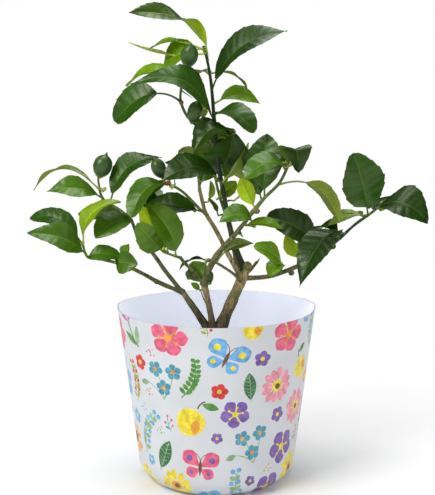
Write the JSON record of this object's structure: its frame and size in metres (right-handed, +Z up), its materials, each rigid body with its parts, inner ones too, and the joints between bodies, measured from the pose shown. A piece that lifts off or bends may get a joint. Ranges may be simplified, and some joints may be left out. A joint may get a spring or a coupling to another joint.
{
  "type": "potted lemon tree",
  "caption": "Young lemon tree with three stems, a spreading crown of glossy leaves and small green fruit, in a thin tapered printed cover pot filled with soil",
  "frame": {"origin": "centre of the flat underside of the pot", "axes": "+Z up along the tree, +X to the tree's right in the front view, +Y to its back"},
  "size_m": [0.298, 0.1934, 0.3533],
  "materials": {
    "pot": "smooth satin white cover with a printed pattern of flowers, leaves and berries",
    "soil": "crumbly dark potting soil",
    "bark": "tan brown bark with fine cracks",
    "bark_green": "smooth green brown young bark",
    "foliage": "glossy dark green leaves with paler undersides"
  },
  "bodies": {
    "root": {"pot": "pot", "soil": "soil", "trunk_base": "bark", "bough_right": "bark", "bough_middle": "bark", "bough_left": "bark", "bough_left_low": "bark_green", "bough_left_high": "bark_green", "bough_middle_left": "bark_green", "bough_middle_right": "bark_green", "bough_right_low": "bark_green", "bough_leader": "bark_green", "bough_second": "bark", "bough_inner": "bark_green", "bough_stub": "bark_green", "bough_back": "bark_green", "foliage_top": "foliage", "foliage_top_left": "foliage", "foliage_middle_right": "foliage", "foliage_centre": "foliage", "foliage_centre_rear": "foliage", "foliage_centre_left": "foliage", "foliage_right_middle": "foliage", "foliage_inner_right": "foliage", "foliage_right_inner": "foliage", "foliage_right_low": "foliage", "foliage_right_far": "foliage", "foliage_left_high": "foliage", "foliage_left_low": "foliage", "foliage_inner_left": "foliage", "foliage_inner_low": "foliage", "foliage_back_top": "foliage", "foliage_back": "foliage", "foliage_back_left": "foliage", "foliage_back_right": "foliage"}
  },
  "joints": []
}
